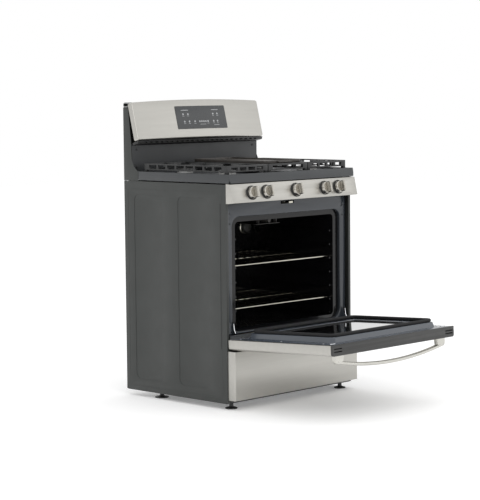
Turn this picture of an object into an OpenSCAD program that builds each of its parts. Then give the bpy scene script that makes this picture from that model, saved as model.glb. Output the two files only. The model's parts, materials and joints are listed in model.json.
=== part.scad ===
// Freestanding gas range with a drop-down oven door, a storage drawer and five burners.
// Origin: on the floor, in the middle of the footprint with the door open. +X is the
// user's right, -Y is the front, +Z is up. All sizes are in millimetres.

/* [Body] */
// Overall width
body_width = 757; // [750:1:764]
// Depth of the side panels
side_depth = 596; // [590:1:602]
// Height of the cooktop rim above the floor
cooktop_height = 945; // [943:1:948]
// Thickness of the sheet metal
sheet = 1.5; // [1.2:0.1:1.6]
// Gap between the floor and the side panels
floor_gap = 26; // [24:1:28]

/* [Backguard] */
// Height of the console's lower edge
console_low = 1075; // [1070:1:1080]
// Height of the console at its ends
console_high = 1232; // [1225:1:1240]
// Rise of the console's arched top edge at its middle
console_arch = 6; // [4:1:9]
// How far the console's face bows forward at its middle
console_bow = 15; // [8:1:18]

/* [Oven] */
// Clear width inside the oven
cavity_width = 596; // [590:2:600]
// Height of the oven mouth's lower edge
cavity_low = 322; // [320:1:324]
// Height of the oven ceiling
cavity_high = 751; // [748:1:753]
// Depth from the oven mouth to its back wall
cavity_depth = 479; // [470:1:482]
// Vertical spacing of the rack positions
rack_pitch = 58.3; // [57:0.1:60]
// Height of the lowest rack position
rack_low = 336.7; // [335:0.1:340]

/* [Door] */
// Thickness of the door
door_thick = 43; // [40:1:44]
// Height of the door's lower edge when it is closed
door_low = 258; // [257:1:259]
// Length of the door from lower edge to upper edge
door_length = 550; // [545:1:555]
// Angle between the closed door and the open door
door_swing = 87.2; // [80:0.1:88]
// Bow of the handle bar
handle_bow = 34; // [20:1:40]

/* [Drawer] */
// Height of the drawer front's lower edge
drawer_low = 40; // [40:1:44]
// Height of the drawer front's upper edge
drawer_high = 238; // [232:1:238]
// Depth of the storage tub
tub_depth = 480; // [420:5:480]

/* [Cooktop] */
// Height of the grates' cooking surface above the cooktop rim
grate_rise = 33; // [30:1:34]
// Distance of the outer burners from the centre line
burner_x = 241; // [236:1:246]
// Radius of each knob
knob_radius = 24; // [22:1:25]

/* [Hidden] */
$fn = 48;
through = 1; // how far a cutter runs past the face it cuts

// Body planes
half_w = body_width / 2;
side_in = half_w - sheet;
side_front = -side_depth;
side_top = 905;
deck_low = cooktop_height - 35;
deck_floor = cooktop_height - 7;
frame_front = side_front + 16;
frame_deep = 12;
frame_back = frame_front + frame_deep;
frame_half = 360;
frame_low = 300;
frame_high = 828;

// Oven
cavity_half = cavity_width / 2;
mouth_y = frame_front + 14;
cavity_back = mouth_y + cavity_depth;
hole_half = cavity_half + 30;
hole_low = cavity_low - 14;
hole_high = cavity_high + 21;
hole_r = 40;
mouth_r = 18;
latch_y = frame_back + 8;
liner_floor = frame_low + 0.5;
rack_levels = [for (i = [0:6]) rack_low + i * rack_pitch];
rack_wire = 3.4;
rack_play = 0.3;
rack_half = cavity_half - 6;
rack_front = mouth_y + 28;
rack_back = cavity_back - 23;

// Door, described closed and then turned open about its hinge
door_back = side_front - 14;
door_front = door_back - door_thick;
door_high = door_low + door_length;
door_half = 376;
door_edge_r = 10;
trim_low = door_high - 8;
pivot_y = door_back - 9.8;
pivot_z = door_low + 19;
hinge_x = 298;
pin_r = 4;
running_gap = 0.05;
glass_half = 270;
glass_low = 372;
glass_high = 704;
raised_half = 325;
raised_low = 310.5;
raised_high = 768;
raised_height = 22;
raised_slope = 11;
raised_top = door_back + raised_height;

// Drawer
drawer_front_y = side_front - 40;
drawer_half = 376;
tub_half = 340;
tub_low = 52;
tub_high = 215;

// Knob panel, which leans back at its top
panel_top = [-620, 906];
panel_low = [-637, 832];
panel_tilt = atan((panel_top[0] - panel_low[0]) / (panel_top[1] - panel_low[1]));
knob_xs = [-263, -177, 0, 177, 263];
knob_mid = (panel_top + panel_low) / 2;
stem_r = 4;
stem_tail = 40;
stem_nose = 26;
knob_back = 5;
knob_nose = 40;
grip_half = 5.5;
valve_size = 26;
valve_near = 6;
valve_far = 52;
manifold_size = 18;

// Cooktop
burner_front_y = -470;
burner_back_y = -225;
burner_mid_y = -345;
burner_spots = [
    [-burner_x, burner_front_y, 40], [-burner_x, burner_back_y, 36],
    [burner_x, burner_front_y, 46], [burner_x, burner_back_y, 32]
];
oval_length = 60;
oval_r = 28;
burner_foot_r = 24;
cap_low = deck_floor + 10;
grate_high = cooktop_height + grate_rise;
grate_low = grate_high - 26;
grate_bar = 8;
grate_back = -105;
grate_front = -585;

// Backguard
console_lean = atan(39 / 157);
console_front_y = -90;
console_deep = 24;
console_foot = [console_front_y + console_deep * cos(console_lean),
                console_low - console_deep * sin(console_lean)];
console_rise = (console_high - console_low) / cos(console_lean);
bow_r = (half_w * half_w + console_bow * console_bow) / (2 * console_bow);
arch_r = (half_w * half_w + console_arch * console_arch) / (2 * console_arch);
display_half = 147;
display_low = 45;
display_high = 139;

// Feet: [x, y, disc radius]
leg_spots = [[-333, -571, 25], [333, -571, 25], [-333, -165, 29], [333, -165, 29]];

// Reach of the open door, which sets where the middle of the footprint lies
door_reach = pivot_y + (door_front - pivot_y) * cos(door_swing)
    - (door_high - pivot_z) * sin(door_swing);
footprint_shift = -door_reach / 2;

// ---------- helpers ----------

module in_frame() translate([0, footprint_shift, 0]) children();

// 2-D shape in (x, z), solid between two depths
module slab_y(front, back)
    translate([0, back, 0]) rotate([90, 0, 0]) linear_extrude(back - front) children();

// 2-D shape in (y, z), solid between two widths
module slab_x(left, right)
    translate([left, 0, 0]) rotate([90, 0, 90]) linear_extrude(right - left) children();

// 2-D shape in (x, y), solid between two heights
module slab_z(low, high)
    translate([0, 0, low]) linear_extrude(high - low) children();

// Box given by its two corners
module box(low, high) translate(low) cube(high - low);

// Rounded rectangle given by its two corners
module rounded(low, high, r) {
    translate([low[0] + r, low[1]]) square([high[0] - low[0] - 2 * r, high[1] - low[1]]);
    translate([low[0], low[1] + r]) square([high[0] - low[0], high[1] - low[1] - 2 * r]);
    for (x = [low[0] + r, high[0] - r], y = [low[1] + r, high[1] - r])
        translate([x, y]) circle(r);
}

// The same thing on the left and on the right
module both_sides() {
    children();
    mirror([1, 0, 0]) children();
}

// Tube along a list of points, with a round elbow fitting at each bend
module pipe(points, r) {
    for (i = [0:len(points) - 2]) {
        run = points[i + 1] - points[i];
        translate(points[i])
            rotate([0, acos(run[2] / norm(run)), atan2(run[1], run[0])])
                cylinder(h = norm(run), r = r);
    }
    for (i = [1:1:len(points) - 2]) translate(points[i]) sphere(r + 1.2);
}

// Local frame on the knob panel: z points out of its face, y up along it
module on_panel(x)
    translate([x, knob_mid[0], knob_mid[1]]) rotate([90 - panel_tilt, 0, 0]) children();

// Local frame on the console: z points out of its face, y up along it
module on_console()
    translate([0, console_foot[0], console_foot[1]])
        rotate([90 - console_lean, 0, 0]) children();

// Turns a part that is described on the closed door to where it is with the door open
module on_open_door()
    translate([0, pivot_y, pivot_z]) rotate([door_swing, 0, 0])
        translate([0, -pivot_y, -pivot_z]) children();

// ---------- body ----------

module side_panel() {
    lip = 12.5;
    emboss = 2;
    pads = [[-231, -60], [-502, -320]];
    color("dimgray") difference() {
        union() {
            box([side_in, side_front, floor_gap], [half_w, 0, side_top]);
            box([half_w - lip, side_front, floor_gap], [half_w, side_front + sheet, side_top]);
            box([half_w - lip, -sheet, floor_gap], [half_w, 0, side_top]);
            for (p = pads)
                slab_x(side_in - emboss, side_in + through)
                    rounded([p[0] - 3, 72], [p[1] + 3, 853], 30);
        }
        for (p = pads)
            slab_x(half_w - emboss, half_w + through) rounded([p[0], 75], [p[1], 850], 27);
    }
}

module left_side_panel() mirror([1, 0, 0]) side_panel();
module right_side_panel() side_panel();

module rear_panel() {
    back = -18.5;
    half = side_in - 0.5;
    color("dimgray") difference() {
        box([-half, back - sheet, 150], [half, back, side_top]);
        for (x = [-300:40:300])
            slab_y(back - 5, back + through) rounded([x - 5, 640], [x + 5, 720], 4.8);
        translate([-300, back + through, 190]) rotate([90, 0, 0]) cylinder(h = 5, r = 14);
    }
}

module base_frame() {
    low = floor_gap - 2;
    high = low + 14;
    color("darkslategray") difference() {
        union() {
            both_sides() box([342, -590, low], [side_in - 0.5, -5, high]);
            box([-342, -590, low], [342, -552, high]);
            box([-342, -184, low], [342, -146, high]);
            for (p = leg_spots) translate([p[0], p[1], high - 1]) cylinder(h = 7, r = 10);
        }
        for (p = leg_spots)
            translate([p[0], p[1], low - through]) cylinder(h = 30, r = 5.2);
    }
}

module leveling_legs() {
    color("black") for (p = leg_spots) translate([p[0], p[1], 0]) {
        rotate_extrude()
            polygon([[0, 0], [p[2], 0], [p[2], 4], [9, 9], [8, floor_gap - 2.5],
                     [5, floor_gap - 2.5], [5, 48], [0, 48]]);
    }
}

module front_frame() {
    rim = sheet;
    slot_low = 811;
    color("slategray") {
        difference() {
            union() {
                box([-frame_half, frame_front, frame_low], [frame_half, frame_back, frame_high]);
                slab_y(frame_back - through, mouth_y)
                    rounded([-hole_half - rim, hole_low - rim],
                            [hole_half + rim, hole_high + rim], hole_r + rim);
            }
            slab_y(frame_front - through, mouth_y + through)
                rounded([-hole_half, hole_low], [hole_half, hole_high], hole_r);
            box([-40, frame_front - through, slot_low], [40, frame_back + through, slot_low + 13]);
            both_sides() for (z = [746, 787])
                translate([344, frame_front + 6, z]) rotate([90, 0, 0]) cylinder(h = 8, r = 3.4);
        }
        box([-20, frame_back, slot_low - 6], [20, frame_back + 18, slot_low]);
        translate([0, latch_y, slot_low - 1]) cylinder(h = 12, r = 3);
    }
}

module lower_front_rail() {
    color("slategray") difference() {
        box([-frame_half, side_front, 246], [frame_half, side_front + sheet, frame_low - 1]);
        both_sides()
            box([hinge_x - 3, side_front - through, 262], [hinge_x + 4, -590, 293]);
    }
}

// Rack supports are ribs pressed into the side walls
module oven_liner() {
    rib = 6;
    color([0.05, 0.05, 0.06]) {
        difference() {
            union() {
                box([-cavity_half - sheet, mouth_y, liner_floor - sheet],
                    [cavity_half + sheet, cavity_back + sheet, cavity_high + sheet]);
                box([-345, mouth_y, frame_low - 3], [345, mouth_y + sheet, 790]);
            }
            box([-cavity_half, mouth_y + sheet, liner_floor],
                [cavity_half, cavity_back, cavity_high]);
            slab_y(mouth_y - through, mouth_y + sheet + through)
                rounded([-cavity_half, cavity_low], [cavity_half, cavity_high], mouth_r);
        }
        both_sides() for (z = rack_levels)
            box([cavity_half - 14, rack_front - 20, z - rack_wire - rack_play - rib],
                [cavity_half + 0.5, rack_back + 8, z - rack_wire - rack_play]);
        both_sides()
            box([cavity_half - 8, mouth_y + 4, cavity_low - 8],
                [cavity_half + 0.5, cavity_back, cavity_low - 2]);
    }
}

module oven_insulation() {
    gap = 0.4;
    low = frame_low;
    color("khaki") {
        difference() {
            box([-340, -560, low], [340, -50, 792]);
            box([-cavity_half - sheet - gap, -560 - through, low - through],
                [cavity_half + sheet + gap, cavity_back + sheet + gap, cavity_high + sheet + gap]);
        }
        box([-280, -560, 262], [280, -90, liner_floor - sheet - gap]);
    }
}

module oven_floor() {
    color([0.06, 0.06, 0.07]) difference() {
        box([-cavity_half + 2, mouth_y + 4, cavity_low - 2],
            [cavity_half - 2, cavity_back - 1, cavity_low]);
        both_sides() for (i = [0:5])
            slab_z(cavity_low - 3, cavity_low + 1)
                rounded([262, -540 + i * 75], [272, -490 + i * 75], 4.8);
    }
}

module bake_burner() {
    color("gray") pipe([[-110, cavity_back, 310], [-110, -520, 310],
                        [110, -520, 310], [110, cavity_back, 310]], 7);
}

module broil_burner() {
    color("gray") {
        translate([0, cavity_back, 737]) rotate([90, 0, 0]) cylinder(h = 390, r = 9);
        box([-70, -470, 722], [70, -200, 724]);
        for (y = [-460, -215])
            both_sides() box([52, y - 8, 723], [54, y + 8, cavity_high]);
        box([-54, -224, 728], [54, -222, 740]);
    }
}

module oven_lamp() {
    color("white") translate([255, cavity_back, 675]) rotate([90, 0, 0]) rotate_extrude()
        polygon([[0, 0], [34, 0], [34, 4], [28, 6], [27, 14], [20, 22], [0, 26]]);
}

// ---------- cooktop and gas ----------

module cooktop() {
    rim = 16;
    lip = 10;
    front = panel_top[0] - 1;
    back = -88;
    deck = deck_floor - 1.5;
    edge_r = 12;
    color("dimgray") difference() {
        intersection() {
            union() {
                slab_x(-half_w, half_w)
                    polygon([[back, deck_low], [back, cooktop_height],
                             [front + lip, cooktop_height], [front, deck_low]]);
                box([-half_w + 3, back - 1, deck], [half_w - 3, -50, cooktop_height]);
            }
            slab_z(deck_low - through, cooktop_height + through) {
                rounded([-half_w, front], [half_w, back], edge_r);
                translate([-half_w, back - edge_r]) square([body_width, 60]);
            }
        }
        slab_x(-half_w + sheet, half_w - sheet)
            polygon([[back - sheet, deck_low - through], [back - sheet, deck],
                     [front + lip + sheet, deck], [front + sheet, deck_low - through]]);
        slab_z(deck_floor, cooktop_height + through)
            rounded([-half_w + rim, front + lip + 13], [half_w - rim, back - 10], 12);
        for (b = burner_spots)
            translate([b[0], b[1], deck - through]) cylinder(h = 20, r = burner_foot_r + 0.5);
        translate([0, burner_mid_y, deck - through]) cylinder(h = 20, r = burner_foot_r + 0.5);
    }
}

module panel_outline(inset) {
    back = side_front - 0.5;
    polygon([[back, panel_top[1] + 2 - inset],
             [panel_top[0] + inset, panel_top[1] - inset],
             [panel_low[0] + inset, panel_low[1] + inset],
             [-611, panel_low[1] - 3 + inset],
             [back, panel_low[1] - 3 + inset]]);
}

module manifold_panel() {
    color("silver") difference() {
        slab_x(-half_w, half_w) panel_outline(0);
        slab_x(-half_w + 2, half_w - 2) {
            panel_outline(sheet);
            translate([side_front - 2, panel_low[1] - 3 + sheet]) square([10, 73]);
        }
        for (x = knob_xs) on_panel(x) translate([0, 0, -10]) cylinder(h = 20, r = 6.5);
    }
}

module gas_manifold() {
    tube_z = 895;
    outlet_y = knob_mid[0] + sin(panel_tilt) * valve_size / 2 + cos(panel_tilt) * stem_tail;
    outlet_z = 874;
    feed_z = 855;
    color("silver") {
        on_panel(0)
            box([-330, -manifold_size / 2, -valve_far - manifold_size],
                [330, manifold_size / 2, -valve_far]);
        pipe([[250, -70, 124], [250, -70, 152], [250, -34, 152],
              [250, -34, feed_z], [250, -566, feed_z]], 6);
        for (side = [-1, 1]) {
            pipe([[side * 263, outlet_y, outlet_z], [side * 263, outlet_y, tube_z],
                  [side * 300, -540, tube_z], [side * 300, burner_back_y, tube_z],
                  [side * burner_x, burner_back_y, tube_z],
                  [side * burner_x, burner_back_y, deck_floor - 13]], 4);
            pipe([[side * 177, outlet_y, outlet_z], [side * 177, outlet_y, tube_z],
                  [side * 177, burner_front_y, tube_z],
                  [side * burner_x, burner_front_y, tube_z],
                  [side * burner_x, burner_front_y, deck_floor - 13]], 4);
        }
        pipe([[0, outlet_y, outlet_z], [0, outlet_y, tube_z],
              [0, burner_mid_y, tube_z], [0, burner_mid_y, deck_floor - 13]], 4);
    }
}

module burner_valves() {
    half = valve_size / 2;
    color("goldenrod") for (x = knob_xs) on_panel(x) difference() {
        union() {
            box([-half, -half, -valve_far], [half, half, -14]);
            translate([0, 0, -15]) cylinder(h = 15 - valve_near, r = 9);
        }
        translate([0, 0, -stem_tail - 8])
            cylinder(h = stem_tail + 8, r = stem_r + running_gap);
    }
}

module valve_stem(i) {
    color("silver") on_panel(knob_xs[i - 1])
        translate([0, 0, -stem_tail]) cylinder(h = stem_tail + stem_nose, r = stem_r);
}

// Round skirt with a raised grip bar across its face
module knob(i) {
    color("silver") on_panel(knob_xs[i - 1]) difference() {
        union() {
            translate([0, 0, knob_back]) cylinder(h = 6, r = knob_radius + 1);
            translate([0, 0, knob_back + 5]) cylinder(h = 7, r = knob_radius);
            slab_z(knob_back + 11, knob_nose) intersection() {
                circle(knob_radius - 1);
                rounded([-grip_half, -knob_radius], [grip_half, knob_radius], grip_half - 0.5);
            }
        }
        translate([0, 0, knob_back - through])
            cylinder(h = stem_nose - knob_back + 0.2 + through, r = stem_r + running_gap);
    }
}

module oval(r) {
    translate([-r, -oval_length / 2]) square([2 * r, oval_length]);
    for (y = [-1, 1]) translate([0, y * oval_length / 2]) circle(r);
}

module burner_bases() {
    foot_low = deck_floor - 13;
    color("lightgray") {
        for (b = burner_spots) translate([b[0], b[1], 0]) {
            translate([0, 0, foot_low])
                cylinder(h = deck_floor + 1 - foot_low, r = burner_foot_r);
            translate([0, 0, deck_floor]) cylinder(h = 5, r = b[2] - 3);
            translate([0, 0, deck_floor + 4]) cylinder(h = cap_low - deck_floor - 4, r = b[2] - 7);
        }
        translate([0, burner_mid_y, 0]) {
            translate([0, 0, foot_low])
                cylinder(h = deck_floor + 1 - foot_low, r = burner_foot_r);
            slab_z(deck_floor, deck_floor + 5) oval(oval_r - 2);
            slab_z(deck_floor + 4, cap_low) oval(oval_r - 6);
        }
    }
}

module burner_caps() {
    color([0.12, 0.12, 0.12]) {
        for (b = burner_spots) translate([b[0], b[1], cap_low]) rotate_extrude()
            polygon([[0, 0], [b[2] - 1, 0], [b[2], 3], [b[2] - 2, 6], [b[2] - 10, 8], [0, 9]]);
        translate([0, burner_mid_y, 0]) {
            slab_z(cap_low, cap_low + 6) oval(oval_r);
            slab_z(cap_low + 5, cap_low + 8) oval(oval_r - 4);
        }
    }
}

// ---------- grates ----------

// Upright rail along y with a row of windows, like a ladder on its side
module ladder_rail(x) {
    windows = 8;
    margin = 24;
    pitch = (grate_back - grate_front - 2 * margin) / windows;
    post = 11;
    slab_x(x, x + grate_bar) difference() {
        translate([grate_front, grate_low])
            square([grate_back - grate_front, grate_high - grate_low]);
        for (i = [0:windows - 1])
            translate([grate_front + margin + i * pitch + post / 2, grate_low + 5])
                square([pitch - post, 16]);
    }
}

// Rail across the front or back, with a row of windows
module cross_rail(left, right, y, windows) {
    margin = 26;
    post = 12;
    pitch = (right - left - 2 * margin + post) / windows;
    slab_y(y, y + grate_bar) difference() {
        translate([left, grate_low]) square([right - left, grate_high - grate_low]);
        for (i = [0:windows - 1])
            translate([left + margin + i * pitch, grate_low + 5]) square([pitch - post, 13]);
    }
}

// Bars that reach in over one burner, leaving its middle open
module fingers(left, right, y, low_y, high_y, open_r) {
    mid = (left + right) / 2;
    top_bar = 11;
    low = grate_high - top_bar;
    half = grate_bar / 2;
    box([left, y - half, low], [mid - open_r, y + half, grate_high]);
    box([mid + open_r, y - half, low], [right, y + half, grate_high]);
    box([mid - half, low_y, low], [mid + half, y - open_r, grate_high]);
    box([mid - half, y + open_r, low], [mid + half, high_y, grate_high]);
}

module grate(left, right, ys) {
    mid_y = burner_mid_y;
    half = grate_bar / 2;
    difference() {
        union() {
            ladder_rail(left);
            ladder_rail(right - grate_bar);
            cross_rail(left, right, grate_front, len(ys) == 2 ? 4 : 1);
            cross_rail(left, right, grate_back - grate_bar, len(ys) == 2 ? 4 : 1);
            if (len(ys) == 2) {
                box([left + 1, mid_y - half, grate_high - 11],
                    [right - 1, mid_y + half, grate_high]);
                fingers(left + 1, right - 1, ys[0], grate_front + 1, mid_y, 26);
                fingers(left + 1, right - 1, ys[1], mid_y, grate_back - 1, 26);
            } else {
                fingers(left + 1, right - 1, ys[0], grate_front + 1, grate_back - 1, 40);
                for (y = [grate_front + 110, grate_back - 110])
                    box([left + 1, y - half, grate_high - 11], [right - 1, y + half, grate_high]);
            }
            for (x = [left, right - 14], y = [grate_front, grate_back - 14])
                box([x, y, deck_floor], [x + 14, y + 14, grate_low + 4]);
        }
    }
}

module left_grate() color([0.1, 0.1, 0.1])
    grate(-360, -122, [burner_front_y, burner_back_y]);
module center_grate() color([0.1, 0.1, 0.1]) grate(-118, 118, [burner_mid_y]);
module right_grate() color([0.1, 0.1, 0.1])
    grate(122, 360, [burner_front_y, burner_back_y]);

module griddle() {
    low = grate_high;
    half = 114;
    front = -560;
    back = -140;
    color([0.15, 0.12, 0.1]) {
        difference() {
            slab_z(low, low + 12) rounded([-half, front], [half, back], 22);
            slab_z(low + 5, low + 13) rounded([-half + 6, front + 6], [half - 6, back - 6], 17);
        }
        for (y = [front - 12, back - 2])
            slab_z(low + 2, low + 8) rounded([-40, y], [40, y + 14], 6);
    }
}

// ---------- backguard ----------

module end_plate() {
    slab_x(side_in, half_w)
        polygon([[0, side_top + 1], [0, 1209], [-30, 1208], [-47, 1053], [-48, 993],
                 [-61, 965], [-82, cooktop_height + 1], [-86, cooktop_height + 1],
                 [-86, deck_low + 1], [-86, side_top + 1]]);
}

module backguard_end_plates() color("dimgray") both_sides() end_plate();

module backguard_rear_cover() {
    half = side_in - 0.5;
    cap_front = -25;
    color("dimgray") {
        difference() {
            box([-half, -sheet, side_top + 1], [half, 0, 1212]);
            for (x = [-240:60:240])
                slab_y(-5, through) rounded([x - 20, 1120], [x + 20, 1128], 3.8);
        }
        slab_x(-half, half) difference() {
            rounded([cap_front, 1210], [0, 1231], 8);
            translate([cap_front + sheet, 1205]) square([-cap_front - 2 * sheet, 24]);
        }
    }
}

module backguard_lower_panel() {
    half = side_in - 0.5;
    color("dimgray") {
        box([-half, -49.5, cooktop_height], [half, -48, 1052]);
        box([-half, -49.5, 1050.5], [half, -36, 1052]);
    }
}

// Louvred outlet for the oven's flue, under the console
module vent_trim() {
    color([0.08, 0.08, 0.08]) difference() {
        slab_x(-side_in + 2, side_in - 2)
            polygon([[-50, 1052.5], [-84, 1060], [-87, 1072.5], [-67, 1067.5], [-50, 1062]]);
        for (x = [-330:30:330])
            box([x - 9, -95, 1062], [x + 9, -76, 1067]);
    }
}

module console_outline(inset) {
    intersection() {
        translate([0, console_rise + console_arch - arch_r])
            circle(arch_r - inset, $fn = 720);
        rounded([-half_w + inset, inset], [half_w - inset, console_rise + 40], 8 - inset);
        translate([-half_w, -1]) square([body_width, console_rise + 39]);
    }
}

module console_bulk(inset, low) {
    deep = console_deep + console_bow;
    intersection() {
        translate([0, 0, low]) linear_extrude(deep + 1) console_outline(inset);
        translate([0, -10, deep - bow_r]) rotate([-90, 0, 0])
            cylinder(h = 260, r = bow_r - inset, $fn = 720);
    }
}

module console_shell() {
    window = 0.4;
    color("silver") on_console() difference() {
        console_bulk(0, 0);
        console_bulk(sheet, -2);
        slab_z(10, 60)
            rounded([-display_half - window, display_low - window],
                    [display_half + window, display_high + window], 4);
    }
}

module control_display() {
    face = console_deep + console_bow - 1.5;
    color([0.2, 0.2, 0.22]) on_console() {
        slab_z(face - 6, face)
            rounded([-display_half, display_low], [display_half, display_high], 4);
        box([-120, display_low + 8, 12], [120, display_high - 8, face - 5]);
    }
}

// ---------- rear services ----------

module gas_regulator() {
    x = 250;
    inlet_r = 10.3;
    color("goldenrod") difference() {
        union() {
            box([x - 24, -94, 72], [x + 24, -46, 112]);
            translate([x, -70, 111]) cylinder(h = 13, r = 14);
            translate([x, -47, 92]) rotate([-90, 0, 0]) cylinder(h = 17, r = 17);
        }
        translate([x, -46, 92]) rotate([-90, 0, 0]) cylinder(h = 17, r = inlet_r);
    }
}

module power_inlet() {
    color("black") translate([-300, 0, 190]) rotate([90, 0, 0]) difference() {
        union() {
            translate([0, 0, 4]) cylinder(h = 14.5, r = 17);
            translate([0, 0, 18]) cylinder(h = 4, r = 13.5);
        }
        translate([0, 0, 3]) cylinder(h = 20, r = 5);
    }
}

// ---------- drawer ----------

module drawer_rails() {
    web = 353;
    low = 116;
    high = 140;
    color("silver") both_sides() {
        box([web, -590, low - sheet], [web + sheet, -120, high + sheet]);
        box([web - 6, -590, low - sheet], [web + sheet, -120, low]);
        box([web - 6, -590, high], [web + sheet, -120, high + sheet]);
        for (y = [-560, -300]) box([web + sheet, y, low + 4], [side_in, y + 30, high - 4]);
    }
}

module drawer_runners() {
    color("gray") both_sides() {
        box([tub_half, -588, 119], [351, -125, 137]);
    }
}

module drawer_front() {
    r = 6;
    module plan(inset) {
        translate([-drawer_half + inset, drawer_front_y + r])
            square([2 * (drawer_half - inset), 40 - r]);
        translate([-drawer_half + r, drawer_front_y + inset])
            square([2 * (drawer_half - r), 40 - inset]);
        for (x = [-drawer_half + r, drawer_half - r])
            translate([x, drawer_front_y + r]) circle(r - inset);
    }
    color("silver") difference() {
        slab_z(drawer_low, drawer_high) plan(0);
        slab_z(drawer_low + sheet, drawer_high - sheet) {
            plan(sheet);
            translate([-drawer_half + sheet, side_front - 1])
                square([2 * (drawer_half - sheet), 3]);
        }
    }
}

module drawer_tub() {
    back = side_front + tub_depth;
    color("gray") difference() {
        union() {
            box([-tub_half, side_front + sheet, tub_low], [tub_half, back, tub_high]);
            box([-364, side_front, 50], [364, side_front + sheet, 232]);
        }
        box([-tub_half + sheet, side_front + 2 * sheet, tub_low + sheet],
            [tub_half - sheet, back - sheet, tub_high + through]);
    }
}

// ---------- door ----------

module hinge_receivers() {
    ear = 4.5;
    ear_low = hinge_x - ear / 2;
    color("silver") both_sides() {
        difference() {
            union() {
                box([ear_low, pivot_y, pivot_z - 7], [ear_low + ear, -588, pivot_z + 7]);
                translate([ear_low, pivot_y, pivot_z]) rotate([0, 90, 0]) cylinder(h = ear, r = 8);
            }
            translate([ear_low - 1, pivot_y, pivot_z]) rotate([0, 90, 0])
                cylinder(h = ear + 2, r = pin_r + running_gap);
        }
        box([hinge_x - 10, -593, 262], [hinge_x + 10, -480, 296]);
    }
}

// Room that the fixed hinge ears need in every part of the door
module hinge_notch() {
    both_sides()
        box([hinge_x - 6, door_front + 20, door_low - through],
            [hinge_x + 6, door_back + 30, pivot_z + 12]);
}

module hinge_arms() {
    color("silver") on_open_door() both_sides() {
        for (x = [hinge_x - 9.5, hinge_x + 6])
            box([x, door_front + 10, door_low + 6], [x + 3.5, door_back - 3, door_low + 80]);
        translate([hinge_x - 9, pivot_y, pivot_z]) rotate([0, 90, 0]) cylinder(h = 18, r = pin_r);
        box([hinge_x - 9.5, door_front + 10, door_low + 40],
            [hinge_x + 9.5, door_back - 3, door_low + 80]);
    }
}

// Outline of the whole door: front corners rounded in plan, lower front edge rounded
module door_bulk(inset, low, high, back) {
    low_r = 8;
    intersection() {
        slab_z(low, high) {
            translate([-door_half + inset, door_front + door_edge_r])
                square([2 * (door_half - inset), back - door_front - door_edge_r]);
            translate([-door_half + door_edge_r, door_front + inset])
                square([2 * (door_half - door_edge_r), back - door_front - inset]);
            for (x = [-door_half + door_edge_r, door_half - door_edge_r])
                translate([x, door_front + door_edge_r]) circle(door_edge_r - inset);
        }
        slab_x(-door_half - 1, door_half + 1) {
            translate([door_front + inset, door_low + low_r])
                square([back - door_front, door_length]);
            translate([door_front + low_r, door_low + inset])
                square([back - door_front, door_length]);
            translate([door_front + low_r, door_low + low_r]) circle(low_r - inset);
        }
    }
}

module door_outer_panel() {
    color("silver") on_open_door() difference() {
        door_bulk(0, door_low, trim_low, door_back - 2);
        door_bulk(sheet, door_low, trim_low + through, door_back - 1);
        slab_y(door_front - through, door_front + 5)
            rounded([-215, 420], [215, 660], 10);
        hinge_notch();
    }
}

module door_top_trim() {
    color([0.27, 0.27, 0.27]) on_open_door() difference() {
        door_bulk(0, trim_low, door_high, door_back);
        both_sides() for (y = [door_front + 16, door_front + 27])
            slab_z(trim_low - through, door_high + through)
                rounded([319, y - 2.5], [367, y + 2.5], 2.4);
    }
}

// Raised block with sloping flanks, standing on the inner side of the door
module raised_block(inset, low) {
    foot = raised_half - inset;
    top = raised_half - raised_slope - inset;
    intersection() {
        slab_z(raised_low - 1, raised_high + 1)
            polygon([[-foot, low], [foot, low], [foot, door_back - inset],
                     [top, raised_top - inset], [-top, raised_top - inset],
                     [-foot, door_back - inset]]);
        slab_x(-raised_half - 1, raised_half + 1)
            polygon([[low, raised_low + inset], [door_back - inset, raised_low + inset],
                     [raised_top - inset, raised_low + raised_slope + inset],
                     [raised_top - inset, raised_high - raised_slope - inset],
                     [door_back - inset, raised_high - inset], [low, raised_high - inset]]);
    }
}

module door_inner_panel() {
    color([0.3, 0.32, 0.36]) on_open_door() difference() {
        union() {
            box([-370, door_back - sheet, door_low + 4], [370, door_back, trim_low]);
            raised_block(0, door_back - sheet);
        }
        raised_block(sheet, door_back - 3);
        slab_y(raised_top - 4, raised_top + through)
            rounded([-glass_half + 8, glass_low + 8], [glass_half - 8, glass_high - 8], 14);
        hinge_notch();
    }
}

module door_gasket() {
    r = 5.5;
    half = 306;
    low = 328;
    high = 751;
    bend = 22;
    y = raised_top + r + 0.1;
    color("black") on_open_door() {
        for (z = [low, high])
            translate([-half + bend, y, z]) rotate([0, 90, 0])
                cylinder(h = 2 * (half - bend), r = r);
        for (x = [-half, half])
            translate([x, y, low + bend]) cylinder(h = high - low - 2 * bend, r = r);
        for (sx = [0, 1], sz = [0, 1])
            mirror([sx, 0, 0])
                translate([half - bend, y, sz ? high - bend : low + bend])
                    rotate([90, 0, 0]) rotate([0, 0, sz ? 0 : -90])
                        rotate_extrude(angle = 90) translate([bend, 0]) circle(r);
    }
}

module door_inner_glass() {
    color([0.1, 0.1, 0.11]) on_open_door()
        slab_y(raised_top - sheet - 4, raised_top - sheet)
            rounded([-glass_half, glass_low], [glass_half, glass_high], 10);
}

module door_outer_glass() {
    color([0.1, 0.1, 0.11]) on_open_door()
        slab_y(door_front + sheet, door_front + sheet + 4)
            rounded([-235, 400], [235, 680], 10);
}

module door_insulation() {
    color("khaki") on_open_door() difference() {
        box([-360, door_front + 8, door_low + 12], [360, door_back - 3, trim_low - 4]);
        slab_y(door_front, door_back + through) rounded([-282, 362], [282, 714], 10);
        both_sides() box([hinge_x - 11, door_front, door_low], [hinge_x + 11, door_back, 342]);
    }
}

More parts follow.
